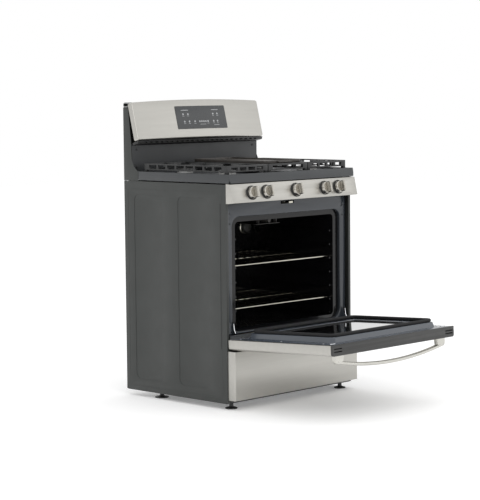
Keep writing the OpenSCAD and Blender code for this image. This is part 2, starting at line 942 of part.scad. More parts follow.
// Bar bowed outwards between two end posts
module door_handle() {
    z = door_high - 28;
    half_chord = 350;
    bar_r = (half_chord * half_chord + handle_bow * handle_bow) / (2 * handle_bow);
    sweep = asin(half_chord / bar_r);
    end_y = door_front - 25;
    color("silver") on_open_door() {
        translate([0, end_y - handle_bow + bar_r, z]) rotate([0, 0, -90 - sweep])
            rotate_extrude(angle = 2 * sweep, $fn = 360) translate([bar_r, 0])
                rounded([-6, -11.5], [6, 11.5], 5.5);
        both_sides() {
            slab_z(z - 12, z + 12)
                polygon([[308, door_front], [366, door_front], [362, end_y + 3],
                         [350, end_y - 4], [334, end_y - 6]]);
        }
    }
}

// ---------- racks ----------

module rack(z) {
    rung = 2.2;
    rungs = 13;
    crossbar = rack_wire - 0.4;
    side = rack_half - rack_wire;
    pitch = 2 * side / (rungs + 1);
    color("silver") {
        for (y = [rack_front, (rack_front + rack_back) / 2, rack_back])
            translate([-side, y, z]) rotate([0, 90, 0]) cylinder(h = 2 * side, r = crossbar);
        for (x = [-side, side])
            translate([x, rack_back + rack_wire, z]) rotate([90, 0, 0])
                cylinder(h = rack_back - rack_front + 2 * rack_wire, r = rack_wire);
        for (i = [1:rungs])
            translate([-side + i * pitch, rack_back, z]) rotate([90, 0, 0])
                cylinder(h = rack_back - rack_front, r = rung);
    }
}

module upper_rack() rack(rack_levels[4]);
module lower_rack() rack(rack_levels[1]);

// ---------- small parts ----------

module frame_screws() {
    color("silver") {
        both_sides() for (z = [746, 787])
            translate([344, frame_front + 6, z]) rotate([90, 0, 0]) {
                cylinder(h = 5, r = 2.5);
                translate([0, 0, 4]) cylinder(h = 1, r = 3.2);
            }
        both_sides() for (z = [960, 1035])
            translate([350, -49.5, z]) rotate([90, 0, 0]) cylinder(h = 2.5, r = 4.5);
        for (x = [-340, 340], z = [200, 400, 600, 850])
            translate([x, -18.5, z]) rotate([-90, 0, 0]) cylinder(h = 2.5, r = 4.5);
    }
}

module door_latch() {
    low = 813;
    color("silver") difference() {
        union() {
            translate([0, latch_y, low]) cylinder(h = 5, r = 9);
            box([-7, latch_y - 34, low], [7, latch_y, low + 5]);
            box([-7, latch_y - 36, low + 0.5], [16, latch_y - 30, low + 8]);
        }
        translate([0, latch_y, low - through]) cylinder(h = 8, r = 3 + running_gap);
    }
}

module knob_1() knob(1);
module knob_2() knob(2);
module knob_3() knob(3);
module knob_4() knob(4);
module knob_5() knob(5);
module valve_stem_1() valve_stem(1);
module valve_stem_2() valve_stem(2);
module valve_stem_3() valve_stem(3);
module valve_stem_4() valve_stem(4);
module valve_stem_5() valve_stem(5);

// ---------- nodes ----------

in_frame() left_side_panel();
in_frame() right_side_panel();
in_frame() rear_panel();
in_frame() base_frame();
in_frame() leveling_legs();
in_frame() front_frame();
in_frame() lower_front_rail();
in_frame() oven_liner();
in_frame() oven_insulation();
in_frame() oven_floor();
in_frame() bake_burner();
in_frame() broil_burner();
in_frame() oven_lamp();
in_frame() cooktop();
in_frame() manifold_panel();
in_frame() gas_manifold();
in_frame() burner_valves();
in_frame() burner_bases();
in_frame() burner_caps();
in_frame() backguard_end_plates();
in_frame() backguard_rear_cover();
in_frame() backguard_lower_panel();
in_frame() vent_trim();
in_frame() console_shell();
in_frame() control_display();
in_frame() gas_regulator();
in_frame() power_inlet();
in_frame() drawer_rails();
in_frame() hinge_receivers();
in_frame() frame_screws();
in_frame() door_latch();
in_frame() door_outer_panel();
in_frame() door_top_trim();
in_frame() door_inner_panel();
in_frame() door_gasket();
in_frame() door_inner_glass();
in_frame() door_outer_glass();
in_frame() door_insulation();
in_frame() door_handle();
in_frame() hinge_arms();
in_frame() drawer_front();
in_frame() drawer_tub();
in_frame() drawer_runners();
in_frame() upper_rack();
in_frame() lower_rack();
in_frame() left_grate();
in_frame() center_grate();
in_frame() right_grate();
in_frame() griddle();
in_frame() knob_1();
in_frame() knob_2();
in_frame() knob_3();
in_frame() knob_4();
in_frame() knob_5();
in_frame() valve_stem_1();
in_frame() valve_stem_2();
in_frame() valve_stem_3();
in_frame() valve_stem_4();
in_frame() valve_stem_5();
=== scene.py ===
"""Looks of the freestanding gas range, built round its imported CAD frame. Metres, +Z up."""
import json
import math

import bmesh
import bpy
from mathutils import Matrix, Vector


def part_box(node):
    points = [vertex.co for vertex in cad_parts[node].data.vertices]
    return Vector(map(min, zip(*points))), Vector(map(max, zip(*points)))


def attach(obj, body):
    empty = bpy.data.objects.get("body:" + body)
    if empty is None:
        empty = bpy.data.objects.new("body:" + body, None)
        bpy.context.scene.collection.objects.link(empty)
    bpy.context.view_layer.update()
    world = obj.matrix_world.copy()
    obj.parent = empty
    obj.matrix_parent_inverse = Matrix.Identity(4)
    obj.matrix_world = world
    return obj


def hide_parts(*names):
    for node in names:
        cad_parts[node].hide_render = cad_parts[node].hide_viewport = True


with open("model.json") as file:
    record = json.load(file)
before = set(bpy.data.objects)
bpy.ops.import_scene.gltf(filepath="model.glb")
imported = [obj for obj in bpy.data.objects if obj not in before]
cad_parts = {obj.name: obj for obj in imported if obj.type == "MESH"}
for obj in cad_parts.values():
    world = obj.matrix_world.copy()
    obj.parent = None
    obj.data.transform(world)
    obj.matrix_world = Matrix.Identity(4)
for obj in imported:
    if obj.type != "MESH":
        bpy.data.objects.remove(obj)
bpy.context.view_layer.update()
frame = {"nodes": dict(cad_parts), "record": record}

MM = 0.001
NODES = frame["nodes"]
RECORD = frame["record"]
BODY_OF = {n: b for b, names in RECORD["behaviour"]["bodies"].items() for n in names}
SLOT_OF = {s["node"]: s["material_slot"] for s in RECORD["subparts"]}
JOINTS = {j["name"]: j for j in RECORD["behaviour"]["joints"]}
HINGE = Vector(JOINTS["door_hinge"]["pos_m"])
DOOR_SWING = math.radians(JOINTS["door_hinge"]["range_deg"][1])

# Places that the CAD boxes give, in metres
FRAME_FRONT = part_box("front_frame")[0][1]
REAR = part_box("backguard_rear_cover")[1][1]

# Outlines drawn in x and z and raised along y, or drawn in y and z and raised along x
XZ_PLANE = Matrix(((1, 0, 0, 0), (0, 0, 1, 0), (0, 1, 0, 0), (0, 0, 0, 1)))
YZ_PLANE = Matrix(((0, 0, 1, 0), (1, 0, 0, 0), (0, 1, 0, 0), (0, 0, 0, 1)))

# Door, in millimetres: depth of its inner face and height of its handle, with the door closed
DOOR_BACK = 610
HANDLE_HEIGHT = 780


def y_at(depth_mm):
    """Row y of a depth counted forwards from the rear face of the body, in millimetres."""
    return REAR - depth_mm * MM


# ---------------------------------------------------------------- materials


class Graph:
    """A material with a few helpers for wiring its nodes."""

    def __init__(self, name, color, rough, metal=0.0, spec=0.5, coat=0.0, coat_rough=0.1):
        self.mat = bpy.data.materials.new(name)
        self.mat.use_nodes = True
        self.tree = self.mat.node_tree
        self.shader = self.tree.nodes["Principled BSDF"]
        self.set("Base Color", (*color, 1))
        self.set("Roughness", rough)
        self.set("Metallic", metal)
        self.set("Specular IOR Level", spec)
        self.set("Coat Weight", coat)
        self.set("Coat Roughness", coat_rough)
        self.color, self.rough = color, rough
        self.coords = self.tree.nodes.new("ShaderNodeTexCoord").outputs["Object"]

    def set(self, socket, value):
        self.shader.inputs[socket].default_value = value

    def link(self, out, socket):
        self.tree.links.new(out, socket)

    def scaled(self, scale):
        mapping = self.tree.nodes.new("ShaderNodeMapping")
        mapping.inputs["Scale"].default_value = scale
        self.link(self.coords, mapping.inputs["Vector"])
        return mapping.outputs["Vector"]

    def noise(self, scale, detail=4.0, rough=0.6):
        """Noise with features about 1/scale metres long on each axis."""
        node = self.tree.nodes.new("ShaderNodeTexNoise")
        node.inputs["Scale"].default_value = 1.0
        node.inputs["Detail"].default_value = detail
        node.inputs["Roughness"].default_value = rough
        self.link(self.scaled(scale), node.inputs["Vector"])
        return node.outputs["Fac"]

    def ramp(self, fac, low, high):
        node = self.tree.nodes.new("ShaderNodeValToRGB")
        node.color_ramp.elements[0].position = 0.25
        node.color_ramp.elements[1].position = 0.75
        node.color_ramp.elements[0].color = (*low, 1)
        node.color_ramp.elements[1].color = (*high, 1)
        self.link(fac, node.inputs["Fac"])
        return node.outputs["Color"]

    def vary_color(self, fac, amount):
        low = [c * (1 - amount) for c in self.color]
        high = [min(1.0, c * (1 + amount)) for c in self.color]
        self.link(self.ramp(fac, low, high), self.shader.inputs["Base Color"])

    def vary_rough(self, fac, amount):
        node = self.tree.nodes.new("ShaderNodeMapRange")
        node.inputs["From Min"].default_value = 0.3
        node.inputs["From Max"].default_value = 0.7
        node.inputs["To Min"].default_value = max(0.02, self.rough - amount)
        node.inputs["To Max"].default_value = self.rough + amount
        self.link(fac, node.inputs["Value"])
        self.link(node.outputs["Result"], self.shader.inputs["Roughness"])

    def bump(self, height, strength, distance):
        node = self.tree.nodes.new("ShaderNodeBump")
        node.inputs["Strength"].default_value = strength
        node.inputs["Distance"].default_value = distance
        self.link(height, node.inputs["Height"])
        self.link(node.outputs["Normal"], self.shader.inputs["Normal"])


def enamel(name, color, rough, peel=0.12, coat=0.0, spec=0.5):
    """Baked enamel: slight orange peel, and a faint cloudiness in colour and gloss."""
    g = Graph(name, color, rough, spec=spec, coat=coat, coat_rough=0.08)
    g.vary_color(g.noise((6, 6, 6), 3), 0.06)
    g.vary_rough(g.noise((14, 14, 14), 4), 0.05)
    g.bump(g.noise((420, 420, 420), 2), peel, 0.0002)
    return g.mat


def brushed(name, color, rough, along="x", bump=0.10):
    """Stainless steel with fine brushing along one axis."""
    fine = {"x": (3, 900, 900), "y": (900, 3, 900), "z": (900, 900, 3)}[along]
    broad = {"x": (1.2, 60, 60), "y": (60, 1.2, 60), "z": (60, 60, 1.2)}[along]
    g = Graph(name, color, rough, metal=1.0)
    lines = g.noise(fine, 3, 0.7)
    g.vary_color(g.noise(broad, 4, 0.55), 0.035)
    g.vary_rough(lines, 0.07)
    g.bump(lines, bump, 0.00006)
    return g.mat


def polished(name, color, rough):
    g = Graph(name, color, rough, metal=1.0)
    g.vary_color(g.noise((40, 40, 40), 3), 0.08)
    g.vary_rough(g.noise((90, 90, 90), 3), 0.05)
    g.bump(g.noise((300, 300, 300), 2), 0.05, 0.0001)
    return g.mat


def cast(name, color, rough, grain=0.5, spec=0.5, coat=0.0):
    """Cast iron under satin enamel: a pebbled surface with duller patches."""
    g = Graph(name, color, rough, spec=spec, coat=coat, coat_rough=0.25)
    g.vary_color(g.noise((45, 45, 45), 5), 0.35)
    g.vary_rough(g.noise((120, 120, 120), 4), 0.10)
    g.bump(g.noise((650, 650, 650), 4, 0.7), grain, 0.0006)
    return g.mat


def moulded(name, color, rough):
    g = Graph(name, color, rough)
    g.vary_color(g.noise((30, 30, 30), 3), 0.10)
    g.vary_rough(g.noise((70, 70, 70), 3), 0.06)
    g.bump(g.noise((900, 900, 900), 2), 0.15, 0.0002)
    return g.mat


def woven(name, color, rough):
    """Braided glass-fibre rope: crossed diagonal strands."""
    g = Graph(name, color, rough, spec=0.3)
    a = g.tree.nodes.new("ShaderNodeTexWave")
    a.bands_direction = "DIAGONAL"
    a.inputs["Scale"].default_value = 1.0
    a.inputs["Distortion"].default_value = 1.5
    g.link(g.scaled((180, 180, 180)), a.inputs["Vector"])
    g.vary_color(g.noise((160, 160, 160), 4), 0.30)
    g.bump(a.outputs["Fac"], 0.6, 0.0008)
    return g.mat


def reflective_glass(name, color, rough):
    """Dark heat-reflective oven glass."""
    g = Graph(name, color, rough, spec=0.9, coat=0.6, coat_rough=0.02)
    g.vary_color(g.noise((8, 8, 8), 3), 0.15)
    g.vary_rough(g.noise((25, 25, 25), 4), 0.012)
    return g.mat


def frosted(name, color, rough):
    g = Graph(name, color, rough)
    g.set("Transmission Weight", 0.35)
    g.vary_rough(g.noise((120, 120, 120), 3), 0.08)
    g.bump(g.noise((260, 260, 260), 2), 0.2, 0.0004)
    return g.mat


def batt(name, color):
    g = Graph(name, color, 0.95)
    g.vary_color(g.noise((60, 200, 200), 5), 0.25)
    g.bump(g.noise((220, 220, 220), 5, 0.7), 0.9, 0.003)
    return g.mat


MATS = {
    "dark_paint": enamel("side_paint", (0.033, 0.036, 0.034), 0.52, 0.25),
    "frame_enamel": enamel("frame_enamel", (0.028, 0.033, 0.040), 0.22, 0.08, coat=0.15),
    "cooktop_enamel": enamel("cooktop_enamel", (0.034, 0.037, 0.040), 0.42, 0.12),
    "oven_enamel": enamel("oven_enamel", (0.004, 0.004, 0.0045), 0.16, 0.06, coat=0.2, spec=0.25),
    "door_liner_enamel": enamel("door_liner_enamel", (0.058, 0.068, 0.084), 0.18, 0.06, coat=0.35),
    "stainless": brushed("stainless", (0.47, 0.460, 0.430), 0.36),
    "knob_metal": brushed("knob_metal", (0.46, 0.44, 0.40), 0.24, "z"),
    "handle_metal": brushed("handle_metal", (0.56, 0.55, 0.51), 0.27),
    "chrome": polished("chrome_wire", (0.56, 0.54, 0.47), 0.20),
    "bright": polished("bright_chrome", (0.85, 0.86, 0.88), 0.08),
    "cast_iron": cast("cast_iron", (0.012, 0.0125, 0.013), 0.42, 0.45, coat=0.08),
    "griddle_coating": cast("griddle_coating", (0.032, 0.027, 0.023), 0.42, 0.2),
    "burner_aluminium": cast("burner_aluminium", (0.42, 0.42, 0.41), 0.45, 0.3),
    "burner_cap_enamel": cast("burner_cap_enamel", (0.02, 0.02, 0.02), 0.45, 0.2),
    "zinc_steel": polished("zinc_steel", (0.50, 0.51, 0.52), 0.38),
    "brass": polished("brass", (0.62, 0.45, 0.20), 0.30),
    "black_plastic": moulded("black_plastic", (0.018, 0.018, 0.018), 0.45),
    "trim_grey": enamel("trim_grey", (0.032, 0.032, 0.031), 0.46, 0.20),
    "display_glass": enamel("display_face", (0.038, 0.041, 0.043), 0.26, 0.03, coat=0.15),
    "dark_glass": reflective_glass("oven_glass", (0.010, 0.010, 0.011), 0.035),
    "lamp_glass": frosted("lamp_glass", (0.10, 0.10, 0.095), 0.12),
    "gasket_rope": woven("gasket_rope", (0.018, 0.018, 0.019), 0.75),
    "insulation": batt("insulation", (0.62, 0.56, 0.40)),
    "burner_steel": cast("burner_steel", (0.050, 0.047, 0.044), 0.55, 0.25),
    "backguard_black": enamel("backguard_black", (0.032, 0.034, 0.036), 0.40, 0.12),
    "marks": moulded("display_marks", (0.42, 0.43, 0.44), 0.4),
    # Painted shade: flat black for the sheets put in gaps and slots where only shade falls
    "painted_shade": moulded("painted_shade_black", (0.006, 0.006, 0.006), 0.6),
}


# ---------------------------------------------------------------- mesh helpers


def add_object(name, mesh, material, smooth=35):
    mesh.materials.clear()
    mesh.materials.append(material)
    if smooth:
        mesh.shade_smooth()
        mesh.set_sharp_from_angle(angle=math.radians(smooth))
    obj = bpy.data.objects.new(name, mesh)
    bpy.context.scene.collection.objects.link(obj)
    return obj


def piece(name, mesh, slot, body, replaces=(), smooth=35, material=None):
    """A new piece: linked, painted, riding on its body and standing for its CAD nodes."""
    obj = add_object(name, mesh, material or MATS[slot], smooth)
    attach(obj, body)
    if replaces:
        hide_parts(*replaces)
    return obj


def mesh_of(bm, name):
    mesh = bpy.data.meshes.new(name)
    bmesh.ops.recalc_face_normals(bm, faces=bm.faces)
    bm.to_mesh(mesh)
    bm.free()
    return mesh


def sharp_edges(bm, angle=30):
    return [e for e in bm.edges
            if len(e.link_faces) == 2 and e.calc_face_angle(0) > math.radians(angle)]


def finished(node, width, segments=2, wide=None, wide_width=0.0, wide_segments=4):
    """A copy of a CAD node's shape with its sharp edges rounded, standing for the node.

    width is in millimetres. wide picks the edges that get the larger wide_width.
    """
    bm = bmesh.new()
    bm.from_mesh(NODES[node].data)
    bmesh.ops.remove_doubles(bm, verts=bm.verts, dist=2e-6)
    bmesh.ops.dissolve_limit(bm, angle_limit=math.radians(0.6), verts=bm.verts, edges=bm.edges)
    if wide:
        edges = [e for e in sharp_edges(bm) if wide(e)]
        bmesh.ops.bevel(bm, geom=edges, offset=wide_width * MM, segments=wide_segments,
                        profile=0.5, affect="EDGES", clamp_overlap=True)
    if width:
        bmesh.ops.bevel(bm, geom=sharp_edges(bm), offset=width * MM, segments=segments,
                        profile=0.5, affect="EDGES", clamp_overlap=True)
    bmesh.ops.triangulate(bm, faces=[f for f in bm.faces if len(f.verts) > 4])
    return piece(node + "_finished", mesh_of(bm, node), SLOT_OF[node], BODY_OF[node], [node])


def prism(bm, outline, low, high, frame_matrix):
    """Adds a straight prism: outline points (a, b), from low to high along c."""
    rings = [[bm.verts.new(frame_matrix @ Vector((a, b, c))) for a, b in outline]
             for c in (low, high)]
    bm.faces.new(rings[0][::-1])
    bm.faces.new(rings[1])
    for i in range(len(outline)):
        j = (i + 1) % len(outline)
        bm.faces.new((rings[0][i], rings[0][j], rings[1][j], rings[1][i]))


def lathe(bm, profile, frame_matrix, steps=40):
    """Adds a turned solid: profile points (radius, height), closed on the axis."""
    rings = []
    for r, h in profile:
        if r < 1e-9:
            rings.append([bm.verts.new(frame_matrix @ Vector((0, 0, h)))])
            continue
        rings.append([bm.verts.new(frame_matrix @ Vector((
            r * math.cos(2 * math.pi * k / steps), r * math.sin(2 * math.pi * k / steps), h)))
            for k in range(steps)])
    join_rings(bm, rings, steps)


def join_rings(bm, rings, steps):
    for a, b in zip(rings, rings[1:]):
        for k in range(steps):
            m = (k + 1) % steps
            if len(a) == 1 and len(b) > 1:
                bm.faces.new((a[0], b[k], b[m]))
            elif len(b) == 1 and len(a) > 1:
                bm.faces.new((a[k], a[m], b[0]))
            elif len(a) > 1:
                bm.faces.new((a[k], a[m], b[m], b[k]))


def rounded_loop(half_a, low_b, high_b, r, steps=8):
    """Points of a rounded rectangle, centred on a = 0."""
    points = []
    corners = [(half_a - r, low_b + r, -90), (half_a - r, high_b - r, 0),
               (-half_a + r, high_b - r, 90), (-half_a + r, low_b + r, 180)]
    for a, b, start in corners:
        for k in range(steps + 1):
            t = math.radians(start + 90 * k / steps)
            points.append((a + r * math.cos(t), b + r * math.sin(t)))
    return points


def loft(bm, rings, close_first=False, close_last=False):
    """Joins loops of equal length, each a list of points in space."""
    made = [[bm.verts.new(p) for p in ring] for ring in rings]
    n = len(made[0])
    for a, b in zip(made, made[1:]):
        for k in range(n):
            m = (k + 1) % n
            bm.faces.new((a[k], a[m], b[m], b[k]))
    if close_first:
        bm.faces.new(made[0][::-1])
    if close_last:
        bm.faces.new(made[-1])
    return made


def opened(point):
    """Where a point of the closed door is with the door open, at rest."""
    turn = Matrix.Rotation(DOOR_SWING, 4, "X")
    return HINGE + turn.to_3x3() @ (Vector(point) - HINGE)


def on_open_door():
    """Matrix that turns the closed door's space to the open door's."""
    return (Matrix.Translation(HINGE) @ Matrix.Rotation(DOOR_SWING, 4, "X")
            @ Matrix.Translation(-HINGE))


# ---------------------------------------------------------------- camera, light and floor

AZIMUTH, ELEVATION, ROLL = math.radians(45.9), math.radians(5.1), math.radians(-0.55)
DISTANCE = 7.67
TARGET = Vector((0.0002, y_at(305.1), 0.6029))
LENS = 130.3


def add_camera():
    back = Vector((-math.sin(AZIMUTH) * math.cos(ELEVATION),
                   -math.cos(AZIMUTH) * math.cos(ELEVATION), math.sin(ELEVATION)))
    right = (-back).cross(Vector((0, 0, 1))).normalized()
    up = right.cross(-back)
    side = right * math.cos(ROLL) + up * math.sin(ROLL)
    top = up * math.cos(ROLL) - right * math.sin(ROLL)
    data = bpy.data.cameras.new("camera")
    data.lens = LENS
    data.sensor_width = 36
    data.clip_end = 60
    cam = bpy.data.objects.new("camera", data)
    cam.matrix_world = (Matrix.Translation(TARGET + back * DISTANCE)
                        @ Matrix((side, top, back)).transposed().to_4x4())
    bpy.context.scene.collection.objects.link(cam)
    bpy.context.scene.camera = cam


def add_light(name, place, aim, size, power, color=(1, 1, 1)):
    data = bpy.data.lights.new(name, "AREA")
    data.shape = "RECTANGLE"
    data.size, data.size_y = size
    data.energy = power
    data.color = color
    lamp = bpy.data.objects.new(name, data)
    lamp.location = place
    lamp.rotation_euler = (Vector(aim) - Vector(place)).to_track_quat("-Z", "Y").to_euler()
    bpy.context.scene.collection.objects.link(lamp)


def add_stage():
    bm = bmesh.new()
    half = 14.0
    bm.faces.new([bm.verts.new(p) for p in
                  ((-half, -half, 0), (half, -half, 0), (half, half, 0), (-half, half, 0))])
    g = Graph("studio_floor", (0.96, 0.96, 0.96), 0.9, spec=0.0)
    g.set("Emission Color", (1, 1, 1, 1))
    g.set("Emission Strength", 0.16)
    g.vary_color(g.noise((2, 2, 2), 2), 0.01)
    floor = add_object("floor", mesh_of(bm, "floor"), g.mat, smooth=0)
    floor.location.z = -0.0005

    world = bpy.data.worlds.new("studio")
    world.use_nodes = True
    background = world.node_tree.nodes["Background"]
    background.inputs["Color"].default_value = (1, 1, 1, 1)
    background.inputs["Strength"].default_value = 1.0
    bpy.context.scene.world = world
    bpy.context.scene.view_settings.view_transform = "Standard"

    add_light("key", (-2.6, -4.2, 3.4), (0, 0, 0.6), (2.6, 2.0), 30)
    add_light("fill", (3.4, -3.0, 2.2), (0, -0.2, 0.5), (2.5, 2.5), 8)
    add_light("top", (0, -0.5, 4.2), (0, 0.1, 0.9), (3.0, 3.0), 12)


# ---------------------------------------------------------------- CAD shapes with rounded edges

SOFT_EDGES = {
    "cooktop": 0.5, "left_grate": 1.6, "center_grate": 1.6, "right_grate": 1.6,
    "griddle": 1.5, "door_top_trim": 0.7,
    "door_outer_panel": 0.35, "drawer_front": 0.35, "manifold_panel": 0.35,
    "backguard_end_plates": 0.4, "backguard_rear_cover": 0.4, "left_side_panel": 0.3,
    "right_side_panel": 0.3, "burner_bases": 0.6, "burner_caps": 0.6,
    "gas_regulator": 1.0, "base_frame": 0.6, "oven_lamp": 0.5,
    "vent_trim": 0.4, "door_latch": 0.5,
}


PLAIN_LOOKS = {"broil_burner": "burner_steel", "bake_burner": "burner_steel",
               "frame_screws": "black_plastic", "backguard_lower_panel": "backguard_black"}


def finish_cad_shapes():
    for node, width in SOFT_EDGES.items():
        finished(node, width)
    face = FRAME_FRONT + 0.5 * MM

    def on_mouth(edge):
        """Whether an edge of the frame's front face runs round the oven's mouth."""
        return all(v.co.y < face and abs(v.co.x) < 0.335 and 0.300 < v.co.z < 0.780
                   for v in edge.verts)

    finished("front_frame", 0.5, wide=on_mouth, wide_width=8.0, wide_segments=5)
    kept = set(NODES) - set(SOFT_EDGES) - {"front_frame", "console_shell", "door_inner_panel",
                                           "door_gasket", "door_handle", "control_display"}
    kept -= {f"knob_{i}" for i in range(1, 6)}
    for node in kept:
        look = PLAIN_LOOKS.get(node, SLOT_OF[node])
        for slot in NODES[node].material_slots:
            slot.material = MATS[look]


# ---------------------------------------------------------------- console


LEAN = math.atan(39 / 157)
CONSOLE_DEEP, CONSOLE_BOW, CONSOLE_HALF = 24, 15, 378.5
CONSOLE_FOOT = Vector((0, y_at(90 - CONSOLE_DEEP * math.cos(LEAN)),
                       (1075 - CONSOLE_DEEP * math.sin(LEAN)) * MM))
CONSOLE_OUT = Vector((0, -math.cos(LEAN), math.sin(LEAN)))
CONSOLE_UP = Vector((0, math.sin(LEAN), math.cos(LEAN)))


def on_console(x, s, t):
    """Point of the console: x across, s up its face, t out from its foot, in millimetres."""
    return CONSOLE_FOOT + Vector((x * MM, 0, 0)) + CONSOLE_UP * (s * MM) + CONSOLE_OUT * (t * MM)


def console_depth(x):
    return CONSOLE_DEEP + CONSOLE_BOW * (1 - (x / CONSOLE_HALF) ** 2)


def console_face():
    """Bowed and arched stainless console with rounded edges."""
    half = CONSOLE_HALF
    arch, corner, fillet = 6, 9, 6
    rise = 157 / math.cos(LEAN)
    place, depth = on_console, console_depth

    def column(x, inset):
        """Lower and upper edge of the outline at x, inset by so many millimetres."""
        r = corner - inset * 0.6
        over = max(0.0, abs(x) - (half - inset - r))
        cut = r - math.sqrt(max(0.0, r * r - over * over))
        top = rise + arch * (1 - (x / half) ** 2)
        return inset + cut, top - inset - cut

    bends = [0, 0.02, 0.08, 0.18, 0.34, 0.55, 0.8, 1.0]
    xs = ([-half + corner * b for b in bends] + [-half + corner + (2 * half - 2 * corner)
          * k / 40 for k in range(1, 40)] + [half - corner * b for b in reversed(bends)])
    rings = []
    for k in range(6):
        a = math.pi / 2 * k / 5
        inset = fillet * (1 - math.sin(a))
        drop = fillet * (1 - math.cos(a))
        squeeze = (half - inset) / half
        lows, highs = [], []
        for x in xs:
            xi = x * squeeze
            lo, hi = column(xi, inset)
            lows.append(place(xi, lo, depth(x) - drop))
            highs.append(place(xi, hi, depth(x) - drop))
        rings.append(lows + highs[::-1])
    lows, highs = [], []
    for x in xs:
        lo, hi = column(x, 0)
        lows.append(place(x, lo, 0.5))
        highs.append(place(x, hi, 0.5))
    rings.append(lows + highs[::-1])
    bm = bmesh.new()
    made = loft(bm, rings)
    n = len(xs)
    for ring in (made[0], made[-1]):
        for i in range(n - 1):
            bm.faces.new((ring[i], ring[i + 1], ring[2 * n - 2 - i], ring[2 * n - 1 - i]))
    bmesh.ops.remove_doubles(bm, verts=bm.verts, dist=1e-6)
    piece("console_face", mesh_of(bm, "console_face"), "stainless", "range_body",
          ["console_shell"], smooth=50)


# ---------------------------------------------------------------- control display


def display_plate():
    """Dark control plate that follows the bow of the console, with rounded corners."""
    half, low, high, r = 149, 38, 138, 4
    xs = ([-half + r * k / 6 for k in range(6)]
          + [-half + r + (2 * half - 2 * r) * k / 36 for k in range(37)]
          + [half - r * k / 6 for k in reversed(range(6))])

    def loop(inset, lift):
        lows, highs = [], []
        for x in xs:
            over = max(0.0, abs(x) - (half - r))
            cut = inset + r - math.sqrt(max(0.0, r * r - over * over))
            xi = x * (half - inset) / half
            lows.append(on_console(xi, low + cut, console_depth(xi) + lift))
            highs.append(on_console(xi, high - cut, console_depth(xi) + lift))
        return lows + highs[::-1]

    bm = bmesh.new()
    made = loft(bm, [loop(0, -4.0), loop(0, 0.9), loop(0.35, 1.25), loop(0.8, 1.4)])
    n = len(xs)
    for ring in (made[0], made[-1]):
        for i in range(n - 1):
            bm.faces.new((ring[i], ring[i + 1], ring[2 * n - 2 - i], ring[2 * n - 1 - i]))
    bmesh.ops.remove_doubles(bm, verts=bm.verts, dist=1e-6)
    piece("display_plate", mesh_of(bm, "display_plate"), "display_glass", "range_body",
          ["control_display"], smooth=40)


def display_marks():
    """Generic pictograms and bars on the display's face: no letters."""
    bm = bmesh.new()

    def mark(outline):
        lift = [[bm.verts.new(on_console(x, s - 6, console_depth(x) + t)) for x, s in outline]
                for t in (1.3, 1.75)]
        bm.faces.new(lift[0][::-1])
        bm.faces.new(lift[1])
        for i in range(len(outline)):
            j = (i + 1) % len(outline)
            bm.faces.new((lift[0][i], lift[0][j], lift[1][j], lift[1][i]))

    def bar(x, s, w, h):
        mark([(x, s), (x + w, s), (x + w, s + h), (x, s + h)])

    def dot(x, s, r):
        mark([(x + r * math.cos(math.pi * k / 10), s + r * math.sin(math.pi * k / 10))
              for k in range(20)])

    for x, w in ((-117, 42), (64, 40)):
        bar(x, 124, w, 2.6)
    for x in (-108, -80, 70, 96):
        dot(x, 108, 4.2)
        bar(x - 6, 99, 12, 1.6)
    for x in (-106, -78, -45, 33, 68, 92):
        dot(x, 76, 4.4)
        bar(x - 6, 66, 12, 1.6)
    for x in (-20, -8, 4, 16):
        bar(x, 72, 7, 7)
    bar(-16, 62, 34, 1.8)
    bar(66, 58, 34, 1.8)
    piece("display_marks", mesh_of(bm, "display_marks"), "marks", "range_body", smooth=0)


# ---------------------------------------------------------------- knobs


def knob_space(i):
    """Matrix of a knob's own space: z points out of the panel, y up along it."""
    joint = JOINTS[f"knob_{i}_turn"]
    out = Vector(joint["axis"]).normalized()
    side = Vector((1, 0, 0))
    up = out.cross(side)
    return (Matrix.Translation(Vector(joint["pos_m"]))
            @ Matrix((side, up, out)).transposed().to_4x4())


def knob(i):
    """Ribbed disc with a tall grip across it, and the fixed bezel behind."""
    space = knob_space(i)
    bm = bmesh.new()
    lathe(bm, [(0, 5.2), (24, 5.2), (25, 6.2), (25, 9.5), (24.2, 10.6), (23.8, 14.6),
               (22.6, 16.6), (20.6, 17.3), (17.5, 16.9), (0, 16.9)], space @ Matrix.Scale(MM, 4))
    for k in range(-3, 4):
        if k == 0:
            continue
        x = k * 3.0 + math.copysign(2.5, k)
        reach = math.sqrt(max(0, 18.5 ** 2 - x * x))
        prism(bm, [(x - 0.7, -reach), (x + 0.7, -reach), (x + 0.7, reach), (x - 0.7, reach)],
              16.5, 18.0, space @ Matrix.Scale(MM, 4))
    grip = []
    for high, half_w, half_l in ((16.0, 5.5, 22.6), (30, 5.0, 22.8), (37.5, 4.4, 22.2),
                                 (39.3, 3.4, 21.0), (39.9, 1.8, 19.0)):
        loop = rounded_loop(half_w, -half_l, half_l, half_w * 0.95, 5)
        grip.append([space @ (Vector((a, b, high)) * MM) for a, b in loop])
    loft(bm, grip, close_last=True, close_first=True)
    piece(f"knob_{i}_body", mesh_of(bm, "knob"), "knob_metal", f"knob_{i}", [f"knob_{i}"], 40)
    bm = bmesh.new()
    lathe(bm, [(26.2, 0.0), (29.0, 0.0), (29.0, 4.0), (28.2, 5.4), (27.0, 5.6), (26.2, 5.0),
               (26.2, 0.0)], space @ Matrix.Scale(MM, 4))
    piece(f"knob_{i}_bezel", mesh_of(bm, "bezel"), "black_plastic", "range_body", smooth=30)


# ---------------------------------------------------------------- oven door


